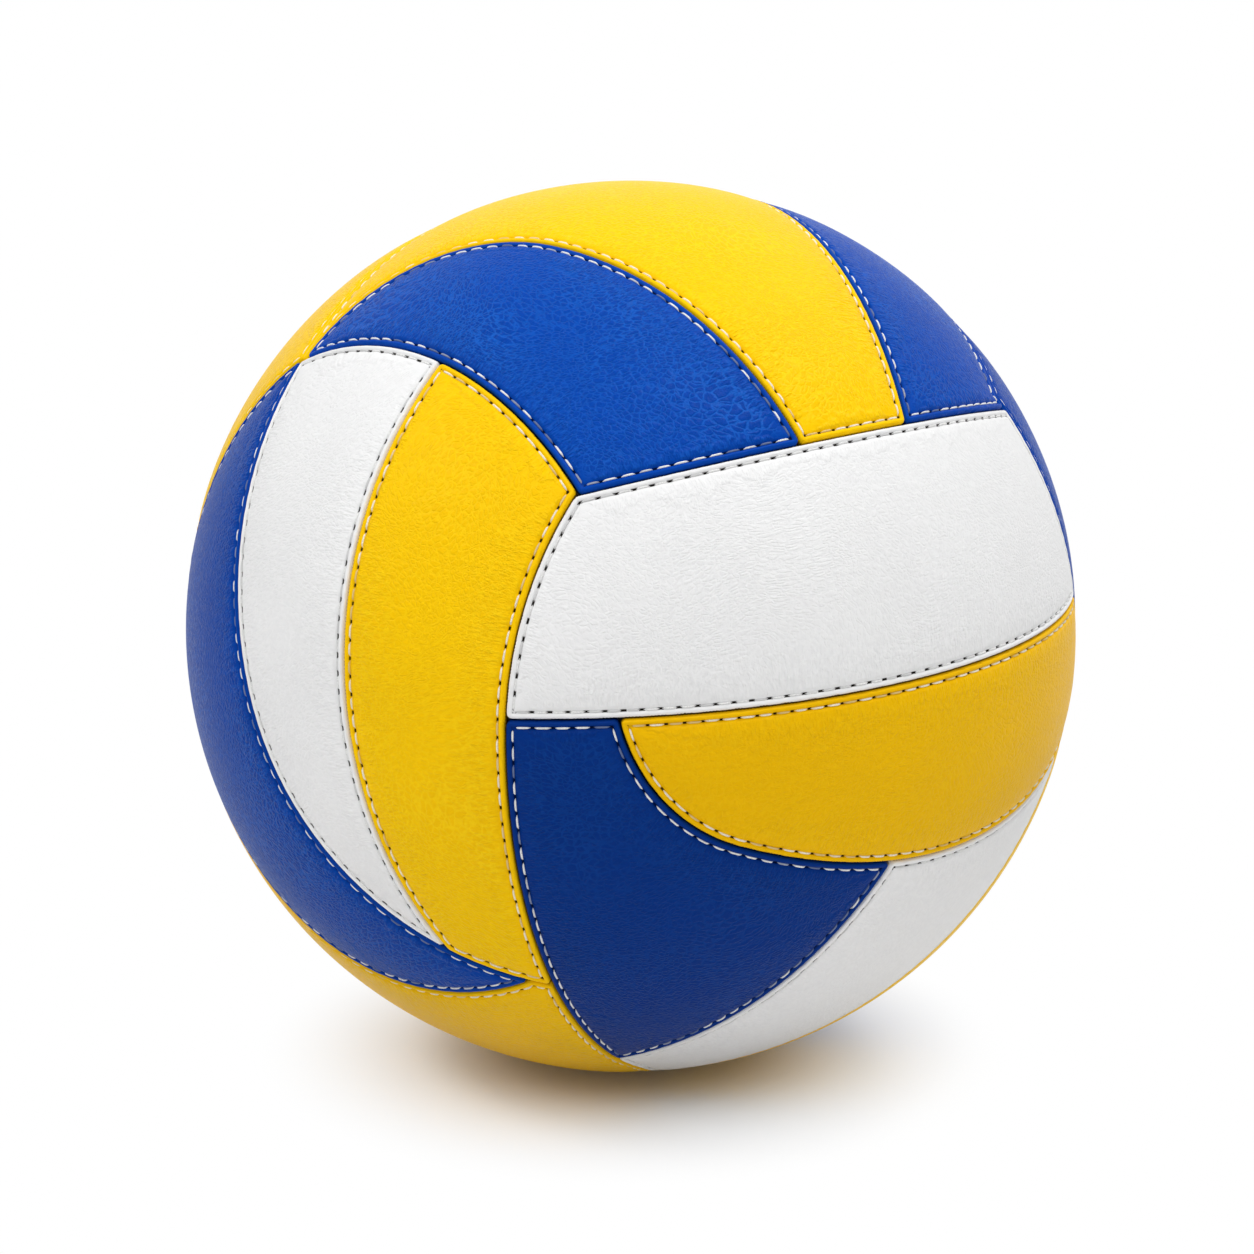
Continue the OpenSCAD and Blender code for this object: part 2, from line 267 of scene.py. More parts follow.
def panel_zones():
    """The eighteen panels: name, colour and zone."""
    front_edge = bend(*FRONT_EDGE)
    left_1 = bend(*LEFT_SEAM_1)
    top_1 = bend(*TOP_SEAM_1)
    front_2 = bend(*FRONT_SEAM_2)
    right = both(
        bend(*RIGHT_EDGE), cap(RIGHT_EDGE_FRONT), cap(RIGHT_EDGE_TOP),
        either(cap(RIGHT_EDGE_BACK), half(RIGHT_EDGE_BACK_SPLIT)),
    )
    back_top = both(cap(BACK_EDGE_TOP), outside(cap(LEFT_EDGE_BACK)))
    back_low = both(
        either(cap(BACK_CORNER), cap(BACK_CORNER_SIDE)), cap(BACK_SEAM_2),
        outside(front_edge), outside(cap(LEFT_EDGE_BACK)),
    )
    back_middle_side = both(half(BACK_LOW_HALF), outside(cap(BACK_SEAM_2)))
    base_2 = either(cap(BASE_SEAM_2), cap(BASE_SEAM_2_BACK))
    rows = [
        ("left_1", "blue", [cap(LEFT_EDGE_BACK)], [left_1]),
        ("left_2", "white", [left_1, cap(LEFT_EDGE_TOP)], [cap(LEFT_SEAM_2), back_top]),
        ("left_3", "yellow", [left_1, cap(LEFT_SEAM_2), cap(LEFT_EDGE_TOP)], [front_edge]),
        ("top_1", "blue", [top_1, cap(TOP_EDGE_FRONT)], [cap(LEFT_EDGE_TOP), cap(BACK_EDGE_TOP)]),
        ("top_2", "yellow", [cap(TOP_EDGE_FRONT)],
         [top_1, cap(TOP_SEAM_2), cap(BACK_EDGE_TOP), cap(LEFT_EDGE_TOP)]),
        ("top_3", "blue", [cap(TOP_SEAM_2), cap(TOP_EDGE_FRONT)], [right, cap(BACK_EDGE_TOP)]),
        ("front_1", "white", [cap(FRONT_SEAM_1), front_edge], [cap(TOP_EDGE_FRONT), right]),
        ("front_2", "yellow", [front_2], [cap(FRONT_SEAM_1), right]),
        ("front_3", "blue", [front_edge, cap(FRONT_EDGE_BASE)], [cap(FRONT_SEAM_1), front_2]),
        ("back_1", "yellow", [back_top, cap(BACK_SEAM_1)], [right]),
        ("back_2", "white", [half(BACK_HALF)],
         [cap(BACK_SEAM_1), cap(BACK_SEAM_2), cap(LEFT_EDGE_BACK), right]),
        ("back_3", "yellow", [back_low], [left_1]),
        ("base_1", "white", [half(BASE_HALF)], [cap(FRONT_EDGE_BASE), cap(BASE_SEAM_1), front_2, back_low]),
        ("base_2", "yellow", [cap(BASE_SEAM_1), half(BASE_HALF)],
         [base_2, front_2, back_low, right, back_middle_side]),
        ("base_3", "blue", [base_2, half(BASE_HALF)], [front_2, back_low, right, back_middle_side]),
        ("right_1", "blue", [right], [cap(RIGHT_SEAM_1)]),
        ("right_2", "yellow", [right, cap(RIGHT_SEAM_1)], [cap(RIGHT_SEAM_2)]),
        ("right_3", "white", [right, cap(RIGHT_SEAM_2)], []),
    ]
    return [
        (name, colour, both(*keep, *[outside(zone) for zone in cut]))
        for name, colour, keep, cut in rows
    ]


def arcs_at(zone, inset, step=0.25, tolerance=1e-5, halvings=14, fewest=60):
    """The arcs that lie exactly inset mm inside a zone's edge, as (circle, grow, first turn, last turn)."""
    found = []
    for circle in dict.fromkeys(zone.circles):
        for grow in (-inset, inset):
            around = 2 * math.pi * BALL_RADIUS * math.sin(math.radians(circle[2]) + grow / BALL_RADIUS)
            count = max(fewest, int(around / step))
            turns = np.arange(count) * 2 * math.pi / count
            one = 2 * math.pi / count

            def on(turn):
                return np.abs(zone.distance(circle_point(circle, grow, turn)) - inset) < tolerance

            ok = on(turns)
            if ok.all():
                found.append((circle, grow, 0.0, 2 * math.pi))
                continue
            for start in np.nonzero(ok & ~np.roll(ok, 1))[0]:
                length = int(np.argmin(np.roll(ok, -start)))
                if length < 2:
                    continue
                first, last = turns[start], turns[start] + (length - 1) * 2 * math.pi / count
                ends = []
                for inner, outer in ((first, first - one), (last, last + one)):
                    for _ in range(halvings):
                        middle = (inner + outer) / 2
                        if on(np.array([middle]))[0]:
                            inner = middle
                        else:
                            outer = middle
                    ends.append(inner)
                found.append((circle, grow, ends[0], ends[1]))
    return found


def arc_points(arc, spacing):
    circle, grow, first, last = arc
    length = abs(last - first) * BALL_RADIUS * math.sin(math.radians(circle[2]) + grow / BALL_RADIUS)
    count = max(2, int(round(length / spacing)) + 1)
    return circle_point(circle, grow, np.linspace(first, last, count))


def loop_at(zone, inset, spacing, centre, widest_gap=3):
    """One closed loop of unit vectors, inset mm inside a zone's edge, anticlockwise from an arc's end."""
    pieces = sorted((arc_points(arc, spacing) for arc in arcs_at(zone, inset)), key=len)
    chain = [pieces.pop()]
    while pieces:
        end = chain[-1][-1]
        ways = [(np.linalg.norm(p[0] - end), i, False) for i, p in enumerate(pieces)]
        ways += [(np.linalg.norm(p[-1] - end), i, True) for i, p in enumerate(pieces)]
        gap, i, turned = min(ways)
        if gap * BALL_RADIUS > widest_gap:
            break
        piece = pieces.pop(i)
        chain.append(piece[::-1] if turned else piece)
    points = np.concatenate([piece[:-1] for piece in chain])
    x, y = flatten(points, centre).T
    if (x * np.roll(y, -1) - y * np.roll(x, -1)).sum() < 0:
        points = np.roll(points[::-1], 1, axis=0)
    return points


class Corners:
    """Rounds a loop's corners: loop is the new outline, and inset gives the way to it in a corner."""

    def __init__(self, loop, fewest_steps=4):
        ahead = np.roll(loop, -1, axis=0) - loop
        ahead /= np.linalg.norm(ahead, axis=1)[:, None]
        back = -np.roll(ahead, 1, axis=0)
        opening = np.arccos(np.clip((ahead * back).sum(axis=1), -1, 1))
        keep = np.ones(len(loop), bool)
        self.rows, arcs = [], {}
        found = np.nonzero(opening < math.radians(CORNER_OPENING))[0]
        for i in found:
            half_angle = opening[i] / 2
            apart = np.linalg.norm(loop[found] - loop[i], axis=1) * BALL_RADIUS
            longest = min([CORNER_REACH, *(CORNER_SHARE * apart[apart > 0])])
            radius = min(CORNER_RADIUS, longest * math.tan(half_angle))
            inward = ahead[i] + back[i]
            inward /= np.linalg.norm(inward)
            centre = loop[i] + inward * radius / math.sin(half_angle) / BALL_RADIUS
            centre /= np.linalg.norm(centre)
            reach = radius / math.tan(half_angle) / BALL_RADIUS
            ends = [loop[i] + way * reach - centre for way in (back[i], ahead[i])]
            ends = [end / np.linalg.norm(end) for end in ends]
            keep &= np.linalg.norm(loop - loop[i], axis=1) > reach * CORNER_CLEARING
            whole = math.pi - opening[i]
            count = max(fewest_steps, int(whole * radius / CORNER_SPACING))
            turn = np.linspace(0, 1, count + 1)[:, None] * whole
            arc = (np.sin(whole - turn) * ends[0] + np.sin(turn) * ends[1]) / math.sin(whole)
            arcs[i] = centre + arc * radius / BALL_RADIUS
            self.rows.append((centre, ends[0], ends[1], radius))
        pieces = []
        for i in range(len(loop)):
            if i in arcs:
                pieces.append(arcs[i])
            elif keep[i]:
                pieces.append(loop[i:i + 1])
        self.loop = np.concatenate(pieces)
        self.loop /= np.linalg.norm(self.loop, axis=1)[:, None]

    def inset(self, points, inset):
        """The given way to the zone's edge, shortened in the corners to the way to the rounded outline."""
        inset = inset.copy()
        for centre, first, last, radius in self.rows:
            near = np.nonzero(points @ centre > math.cos(CORNER_EXTENT / BALL_RADIUS))[0]
            off = points[near] - centre
            between = (np.cross(first, off) @ centre > 0) & (np.cross(off, last) @ centre > 0)
            near, off = near[between], off[between]
            inset[near] = EDGE_INSET + radius - np.linalg.norm(off, axis=1) * BALL_RADIUS
        return inset


def flatten(points, centre):
    """Equal-area map of unit vectors onto the plane that touches the ball at centre, in mm."""
    e1, e2 = frame_of(centre)
    stretch = np.sqrt(2 / (1 + points @ centre)) * BALL_RADIUS
    return np.stack([points @ e1 * stretch, points @ e2 * stretch], axis=1)


def unflatten(flat, centre):
    """Unit vectors of points on flatten's map."""
    e1, e2 = frame_of(centre)
    rho = np.linalg.norm(flat, axis=1) / BALL_RADIUS
    angle = 2 * np.arcsin(np.clip(rho / 2, 0, 1))[:, None]
    way = flat / np.maximum(np.linalg.norm(flat, axis=1), 1e-12)[:, None]
    return np.cos(angle) * centre + np.sin(angle) * (way[:, :1] * e1 + way[:, 1:] * e2)


def spread(spacing):
    """Evenly spread unit vectors, spacing mm apart on the ball."""
    count = int(4 * math.pi * BALL_RADIUS ** 2 / spacing ** 2)
    i = np.arange(count) + 0.5
    z = 1 - 2 * i / count
    turn = math.pi * (1 + math.sqrt(5)) * i
    r = np.sqrt(1 - z * z)
    return np.stack([r * np.cos(turn), r * np.sin(turn), z], axis=1)


SPREAD_FINE = spread(CENTRE_SPACING)
SPREAD_COARSE = spread(FLOOR_SPACING)


def ring_round(place, radius, spacing):
    """Unit vectors on a small circle round a place, radius in mm, clockwise seen from outside."""
    count = int(2 * math.pi * radius / spacing)
    turns = -np.arange(count) * 2 * math.pi / count
    return circle_point((*place, math.degrees(radius / BALL_RADIUS)), 0, turns)


def within(points, outline):
    """Which points of the plane lie inside a closed outline."""
    x, y = points[:, :1], points[:, 1:]
    x1, y1 = outline.T
    x2, y2 = np.roll(outline, -1, axis=0).T
    level = (y1 > y) != (y2 > y)
    ahead = (x - x1) * np.abs(y2 - y1) < (x2 - x1) * (y - y1) * np.sign(y2 - y1)
    return (level & ahead).sum(axis=1) % 2 == 1


def triangulate(loops, extra, centre):
    """Fill the first loop and leave the others open. Gives unit vectors, faces and each loop's indices."""
    grid = np.unique(np.round(extra * BALL_RADIUS / SAME_PLACE), axis=0, return_index=True)[1]
    given = np.concatenate([*loops, extra[np.sort(grid)]])
    edges, first = [], 0
    for loop in loops:
        edges += [(first + i, first + (i + 1) % len(loop)) for i in range(len(loop))]
        first += len(loop)
    coords = [Vector(v) for v in flatten(given, centre).tolist()]
    inside_edges, tolerance, with_origins = 1, 1e-4, True
    verts, _, faces, originals, _, _ = delaunay_2d_cdt(
        coords, edges, [], inside_edges, tolerance, with_origins
    )
    flat = np.array([v[:] for v in verts])
    points = unflatten(flat, centre)
    place = {}
    for new, olds in enumerate(originals):
        for old in olds:
            place[old] = new
    faces = np.array([f for f in faces if len(f) == 3])
    first, where = len(loops[0]), [[place[i] for i in range(len(loops[0]))]]
    # Faces that only join points of the outline may lie outside it, where it curves inwards
    inner = ~np.isin(faces, where[0]).all(axis=1)
    inner[~inner] = within(flat[faces[~inner]].mean(axis=1), flatten(loops[0], centre))
    faces = faces[inner]
    rounding = 1e-6
    for loop in loops[1:]:
        where.append([place[first + i] for i in range(len(loop))])
        first += len(loop)
        middle = loop.mean(axis=0)
        middle /= np.linalg.norm(middle)
        # Faces that only join points of the loop lie at its level, and belong to the hole too
        outside_loop = points[faces].mean(axis=1) @ middle < (loop @ middle).mean() - rounding
        faces = faces[outside_loop]
    return points, faces.tolist(), where


class Seam:
    """The line that a panel's stitches follow, and where points lie along it.

    Each side between two corners holds a whole number of stitches. Phase counts them round the panel. A
    whole number is a stitch's middle, and corners and the holes between stitches are at the halves.
    """

    def __init__(self, zone, centre, spacing=0.2):
        self.loop = loop_at(zone, STITCH_INSET, spacing, centre)
        self.closed = np.concatenate([self.loop, self.loop[:1]])
        steps = np.diff(self.closed, axis=0)
        length = np.linalg.norm(steps, axis=1)
        run = np.concatenate([[0], np.cumsum(length)]) * BALL_RADIUS
        ahead = steps / length[:, None]
        corner_turn = math.radians(20)
        turning = (ahead * np.roll(ahead, 2, axis=0)).sum(axis=1) < math.cos(corner_turn)
        ends = [i for i in np.nonzero(turning)[0] if i == 0 or not turning[i - 1]]
        if not ends:
            ends = [0]
        first = ends[0]
        self.loop = np.roll(self.loop, -first, axis=0)
        self.closed = np.concatenate([self.loop, self.loop[:1]])
        stops = np.append(run[ends], run[first] + run[-1]) - run[first]
        counts = np.round(np.diff(stops) / STITCH_PITCH)
        steps = np.linalg.norm(np.diff(self.closed, axis=0), axis=1)
        run = np.concatenate([[0], np.cumsum(steps)]) * BALL_RADIUS
        self.count = int(counts.sum())
        self.phase = np.interp(run, stops, np.concatenate([[0], np.cumsum(counts)]) - 0.5)

    def along(self, points):
        """The phase of each point's nearest place on the seam."""
        nearest = np.empty(len(points), int)
        batch = 4000
        for i in range(0, len(points), batch):
            nearest[i:i + batch] = np.argmax(points[i:i + batch] @ self.loop.T, axis=1)
        before = self.closed[nearest]
        step = self.closed[nearest + 1] - before
        share = np.clip(((points - before) * step).sum(axis=1) / (step * step).sum(axis=1), -0.5, 0.5)
        return self.phase[nearest] + share * (self.phase[nearest + 1] - self.phase[nearest])

    def at(self, phase):
        """Unit vectors on the seam at the given phases."""
        p = np.stack([np.interp(phase, self.phase, self.closed[:, k]) for k in range(3)], axis=-1)
        return p / np.linalg.norm(p, axis=-1, keepdims=True)


def relief(inset, phase, calm):
    """Height in mm over the ball's radius of a panel's section, with its puckers and stitch holes."""
    steps = [row[:2] for row in SECTION] + CROWN
    height = np.interp(inset, *np.array(steps).T)
    pucker_fade = np.exp(-((inset - STITCH_INSET - PUCKER_OFFSET) / PUCKER_WIDTH) ** 2)
    pucker = (0.5 - 0.5 * np.cos(2 * math.pi * phase)) * pucker_fade
    hole = np.abs(phase % 1 - 0.5) * STITCH_PITCH
    pit = np.exp(-(hole / PIT_LENGTH) ** 4) * np.exp(-((inset - STITCH_INSET) / PIT_WIDTH) ** 2)
    return height - calm * (PUCKER_DEPTH * pucker + PIT_DEPTH * pit)


def calm_places(phase, faces, count):
    """0 where the nearest place on the seam jumps from one side to another, 1 away from there."""
    faces = np.array(faces)
    jump = 0.6
    calm = np.ones(count)
    calm[np.unique(faces[np.ptp(phase[faces], axis=1) > jump])] = 0
    for next_value in (0.35, 0.7):
        beside = np.where(calm[faces].min(axis=1) < next_value, next_value, 1.0)
        softened = np.ones(count)
        np.minimum.at(softened, faces.ravel(), np.repeat(beside, 3))
        calm = np.minimum(calm, softened)
    return calm


def make_mesh(name, verts, faces, smooth=True):
    mesh = bpy.data.meshes.new(name)
    mesh.from_pydata([tuple(v) for v in verts.tolist()], [], [tuple(f) for f in faces])
    mesh.update()
    if smooth:
        mesh.polygons.foreach_set("use_smooth", np.ones(len(mesh.polygons), bool))
    obj = bpy.data.objects.new(name, mesh)
    bpy.context.scene.collection.objects.link(obj)
    return obj


def add_attribute(obj, name, values):
    layer = obj.data.attributes.new(name, "FLOAT", "POINT")
    layer.data.foreach_set("value", np.asarray(values, np.float32))


def build_panel(name, colour, zone):
    """One padded panel: a crowned top with rolled edges, walls in the seam and a floor over the lining."""
    inside = SPREAD_FINE[zone.distance(SPREAD_FINE) > CENTRE_START]
    centre = inside.sum(axis=0)
    centre /= np.linalg.norm(centre)
    seam = Seam(zone, centre)
    corners = Corners(loop_at(zone, EDGE_INSET, SECTION[0][2], centre))
    extra = [arc_points(arc, spacing) for inset, _, spacing in SECTION[1:] for arc in arcs_at(zone, inset)]
    extra = np.concatenate([*extra, inside])
    extra = extra[corners.inset(extra, zone.distance(extra)) > EDGE_INSET + EDGE_CLEARANCE]
    low_extra = SPREAD_COARSE[zone.distance(SPREAD_COARSE) > FLOOR_START]
    loops = [corners.loop]
    if name == VALVE_PANEL:
        valve = direction(*VALVE_DIRECTION)
        reach = math.cos((VALVE_HOLE + VALVE_CLEARING) / BALL_RADIUS)
        extra, low_extra = extra[extra @ valve < reach], low_extra[low_extra @ valve < reach]
        rings = [ring_round(VALVE_DIRECTION, VALVE_HOLE + r, VALVE_RING_SPACING) for r in VALVE_RINGS]
        extra = np.concatenate([extra, *rings])
        loops.append(ring_round(VALVE_DIRECTION, VALVE_HOLE, VALVE_RING_SPACING))
    top, faces, ends = triangulate(loops, extra, centre)
    inset = corners.inset(top, zone.distance(top))
    phase = seam.along(top)
    calm = calm_places(phase, faces, len(top))
    height = relief(inset, phase, calm)
    if name == VALVE_PANEL:
        away = np.arccos(np.clip(top @ valve, -1, 1)) * BALL_RADIUS
        height = height - VALVE_SINK_DEPTH * np.exp(-((away - VALVE_HOLE) / VALVE_SINK_WIDTH) ** 2)
    low, low_faces, low_ends = triangulate(loops, low_extra, centre)
    verts = np.concatenate([top * (BALL_RADIUS + height)[:, None], low * (BALL_RADIUS + PANEL_FLOOR)])
    count = len(top)
    walls = []
    for upper, lower in zip(ends, low_ends):
        for i in range(len(upper)):
            j = (i + 1) % len(upper)
            walls.append((upper[i], count + lower[i], count + lower[j], upper[j]))
    low_faces = [tuple(count + k for k in reversed(f)) for f in low_faces]
    obj = make_mesh("panel_" + name, verts * MM, faces + walls + low_faces)
    rest = np.zeros(len(low))
    add_attribute(obj, "inset", np.concatenate([inset, rest]))
    add_attribute(obj, "stitch", np.concatenate([phase, rest]))
    add_attribute(obj, "calm", np.concatenate([calm, rest]))
    # The panel's share of painted shade, read by its material
    add_attribute(obj, "shade", np.full(len(verts), PAINTED_SHADE.get(name, 0.0)))
    obj.data.materials.append(LEATHER[colour])
    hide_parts("cover_" + name, "foam_" + name)
    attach(obj, "root")
    return seam


def build_stitches(name, colour, seam, sides=7, rings=7):
    """The row of topstitches along one panel: short arched threads that dive into holes."""
    share = np.linspace(-1, 1, rings)
    turn = np.arange(sides) * 2 * math.pi / sides
    verts, faces, tints = [], [], []
    for k in range(seam.count):
        length = (STITCH_LENGTH + RNG.uniform(*STITCH_LENGTH_CHANGE)) / STITCH_PITCH
        places = k + RNG.uniform(*STITCH_PHASE_CHANGE) + share * length / 2
        lift = RNG.uniform(*STITCH_HEIGHT_CHANGE)
        shift = RNG.uniform(*STITCH_SIDE_CHANGE)
        tint = RNG.uniform(0, 1)
        up = seam.at(places)
        along = seam.at(places + STITCH_AIM) - seam.at(places - STITCH_AIM)
        along /= np.linalg.norm(along, axis=1)[:, None]
        side = np.cross(up, along)
        height = BALL_RADIUS + STITCH_HEIGHT + lift - STITCH_DIVE * np.abs(share) ** 5
        thinned = np.maximum(1 - np.abs(share) ** 4 * THREAD_TAPER, THREAD_THINNEST)
        thick = THREAD_RADIUS * np.sqrt(thinned)
        middle = up * height[:, None] + side * shift
        ring = middle[:, None, :] + thick[:, None, None] * (
            np.cos(turn)[None, :, None] * side[:, None, :] + np.sin(turn)[None, :, None] * up[:, None, :]
        )
        base = len(tints)
        tips = [middle[:1] - along[:1] * STITCH_TIP, middle[-1:] + along[-1:] * STITCH_TIP]
        verts += [ring.reshape(-1, 3), *tips]
        tints += [tint] * (rings * sides + 2)
        start, end = base + rings * sides, base + rings * sides + 1
        for s in range(sides):
            t = (s + 1) % sides
            for r in range(base, base + (rings - 1) * sides, sides):
                faces.append((r + s, r + t, r + sides + t, r + sides + s))
            faces.append((start, base + t, base + s))
            faces.append((end, start - sides + s, start - sides + t))
    obj = make_mesh("stitches_" + name, np.concatenate(verts) * MM, faces)
    add_attribute(obj, "tint", tints)
    obj.data.materials.append(THREAD[colour])
    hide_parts("topstitch_" + name)
    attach(obj, "root")


def grey(level):
    return (level, level, level, 1.0)


def darker(colour, share):
    return tuple(c * share for c in colour[:3]) + (1.0,)


class Nodes:
    """Short way to build a material's node tree."""

    def __init__(self, name):
        self.material = bpy.data.materials.new(name)
        self.material.use_nodes = True
        self.tree = self.material.node_tree
        self.tree.nodes.clear()
        self.output = self.add("ShaderNodeOutputMaterial")

    def add(self, kind, inputs=None, **settings):
        node = self.tree.nodes.new(kind)
        for key, value in settings.items():
            setattr(node, key, value)
        for key, value in (inputs or {}).items():
            self.join(value, node.inputs[key])
        return node

    def join(self, value, socket):
        if isinstance(value, bpy.types.NodeSocket):
            self.tree.links.new(value, socket)
        else:
            socket.default_value = value

    def maths(self, operation, a, b=0.0):
        return self.add("ShaderNodeMath", {0: a, 1: b}, operation=operation).outputs[0]

    def times(self, *values):
        product = values[0]
        for value in values[1:]:
            product = self.maths("MULTIPLY", product, value)
        return product

    def plus(self, *values):
        total = values[0]
        for value in values[1:]:
            total = self.maths("ADD", total, value)
        return total

    def vector(self, operation, a, b):
        return self.add("ShaderNodeVectorMath", {0: a, 1: b}, operation=operation).outputs[0]

    def place(self):
        return self.add("ShaderNodeTexCoord").outputs["Object"]

    def attribute(self, name):
        return self.add("ShaderNodeAttribute", attribute_name=name).outputs["Fac"]

    def noise(self, place, scale, detail, output="Fac", **more):
        inputs = {"Vector": place, "Scale": scale, "Detail": detail, **more}
        return self.add("ShaderNodeTexNoise", inputs).outputs[output]

    def ramp(self, value, low, high, to_low=0.0, to_high=1.0):
        return self.add(
            "ShaderNodeMapRange",
            {"Value": value, "From Min": low, "From Max": high, "To Min": to_low, "To Max": to_high},
            interpolation_type="SMOOTHSTEP",
        ).outputs[0]

    def mix(self, factor, a, b):
        node = self.add("ShaderNodeMix", data_type="RGBA")
        self.join(factor, node.inputs[0])
        self.join(a, node.inputs[6])
        self.join(b, node.inputs[7])
        return node.outputs[2]

    def surface(self, tone, roughness, height, strength, depth, specular=0.5):
        """Closes the tree with a surface of this tone, bumped by height. Gives the material."""
        bump = self.add("ShaderNodeBump", {"Height": height, "Strength": strength, "Distance": depth})
        shader = self.add("ShaderNodeBsdfPrincipled", {
            "Base Color": tone, "Roughness": roughness,
            "Normal": bump.outputs["Normal"], "Specular IOR Level": specular,
        })
        self.join(shader.outputs[0], self.output.inputs["Surface"])
        return self.material


def leather(name, colour, dark, light, hole_shade, hole_length, ridge_highlight_share, grain):
    """Grained leather with gathers across the seams and a smooth hem, with painted highlights on the grain
    and gathers, and painted shade in the creases, gathers, seam, stitch channel and stitch holes.

    Inset is the distance from the seam in mm, and stitch the phase along it. Texture scales count to a
    metre, and heights are shares of the bump's depth.
    """
    warp_scale, warp_reach = 300.0, (0.002, 0.002, 0.002)
    drift_scale, drift_reach = 26.0, (0.03, 0.03, 0.03)
    pebble_scale, pebble_stretch = 880.0, (0.6, 1.0, 1.0)
    fine_scale, crease_scale, cloud_scale = 2400.0, 850.0, 34.0
    bump_depth = 0.0003
    n = Nodes(name)
    place = n.place()
    inset, stitch, calm, shade = [n.attribute(key) for key in ("inset", "stitch", "calm", "shade")]
    body = n.ramp(inset, 2.1, 6.0)

    # Long pebbles lie over the hide in a slowly turning direction
    warp = n.noise(place, warp_scale, 3.0, "Color")
    moved = n.vector("ADD", place, n.vector("MULTIPLY", warp, warp_reach))
    drift = n.vector("MULTIPLY", n.noise(place, drift_scale, 1.0, "Color"), drift_reach)
    flow = n.vector("MULTIPLY", n.vector("ADD", moved, drift), pebble_stretch)
    pebbles = {"Vector": flow, "Scale": pebble_scale}
    cells = n.add("ShaderNodeTexVoronoi", pebbles, feature="DISTANCE_TO_EDGE")
    to_edge = cells.outputs["Distance"]
    fine = n.noise(place, fine_scale, 2.0)
    crease = n.noise(moved, crease_scale, 3.0, Roughness=0.6)
    wide = n.noise(place, cloud_scale, 3.0)

    # Fine gathers run square to the seam and fade into the grain
    bent = n.plus(n.times(stitch, 8.0), n.times(wide, 8.0))
    gathers = {"X": bent, "Y": n.times(inset, 0.6), "Z": n.times(warp, 0.8)}
    line = n.noise(n.add("ShaderNodeCombineXYZ", gathers).outputs[0], 1.0, 1.0)
    near = n.times(n.ramp(inset, 1.9, 3.0), n.ramp(inset, 17.0, 3.5, 0.1, 1.0), n.ramp(calm, 0.6, 1.0))

    # The stitches lie in a channel, with a hole between each two, and these masks place the painted shade
    # in both
    between = n.maths("ABSOLUTE", n.maths("SUBTRACT", n.maths("FRACT", stitch), 0.5))
    across = n.maths("ABSOLUTE", n.maths("SUBTRACT", inset, STITCH_INSET))
    hole = n.times(n.ramp(between, hole_length + 0.03, hole_length - 0.03), n.ramp(across, 0.33, 0.19))
    hole = n.times(hole, n.ramp(calm, 0.0, 0.5))
    channel = n.ramp(across, 0.45, 0.1)

    # Colours, from the wide clouds to the holes: the clouds are the hide's own tone, and painted highlights
    # and painted shade follow
    tone = n.mix(n.ramp(wide, 0.3, 0.7, 0.0, 0.2), colour, dark)
    # Painted highlights: a lighter network on the ridges between the pebbles, stronger in some patches
    ridge_highlight = n.times(n.maths("SUBTRACT", 1.0, n.ramp(to_edge, 0.02, 0.17)), body)
    ridge_highlight = n.times(ridge_highlight, n.ramp(wide, 0.35, 0.62, 0.45, 1.0), ridge_highlight_share)
    tone = n.mix(ridge_highlight, tone, light)
    # Painted shade in the low places of the creases
    tone = n.mix(n.times(n.ramp(crease, 0.62, 0.4), n.times(body, 0.16)), tone, dark)
    # Painted highlights on the crests of the gathers and painted shade in their troughs
    tone = n.mix(n.times(n.ramp(line, 0.48, 0.66), n.times(near, 0.35)), tone, light)
    tone = n.mix(n.times(n.ramp(line, 0.48, 0.34), n.times(near, 0.15)), tone, dark)
    # Painted shade: the panel's share of the darker tone, for panels that fall darker in the light
    tone = n.mix(shade, tone, dark)
    # Painted shade in the stitch channel and down in the seam between the panels
    recess_shade = darker(dark, 0.25)
    tone = n.mix(n.times(channel, 0.2), tone, recess_shade)
    tone = n.mix(n.ramp(inset, 0.25, 0.12), tone, recess_shade)
    # Painted shade in the stitch holes
    tone = n.mix(hole, tone, hole_shade)

    pebble = n.ramp(to_edge, 0.0, 0.25)
    hide = n.plus(n.times(pebble, 0.35), n.times(crease, 0.7), n.times(fine, 0.2))
    height = n.plus(n.times(hide, body), n.times(line, near, 1.8), n.times(fine, 0.06))
    roughness = n.ramp(crease, 0.3, 0.7, 0.3, 0.42)
    return n.surface(tone, roughness, height, grain, bump_depth, specular=0.045)


def thread_material(name, bright, shaded_tone):
    """Twisted thread. Some stitches, picked at random, get a duller tone, which is painted shade."""
    shaded_share = 0.3
    n = Nodes(name)
    ply = n.noise(n.place(), 3600.0, 2.0)
    tone = n.mix(n.ramp(ply, 0.3, 0.7), darker(bright, 0.8), bright)
    # Painted shade on the stitches picked by their tint
    tone = n.mix(n.ramp(n.attribute("tint"), shaded_share + 0.15, shaded_share - 0.15), tone, shaded_tone)
    return n.surface(tone, 0.6, ply, 0.5, 0.00012, specular=0.2)


def rubber(name, colour):
    """Matt moulded rubber with a fine grit and paler clouds."""
    n = Nodes(name)
    place = n.place()
    cloud = n.noise(place, 120.0, 2.0)
    light = tuple(min(1.0, c * 1.6 + 0.01) for c in colour[:3]) + (1.0,)
    tone = n.mix(n.ramp(cloud, 0.35, 0.65), colour, light)
    return n.surface(tone, 0.62, n.noise(place, 1500.0, 4.0), 0.3, 0.0001, specular=0.25)


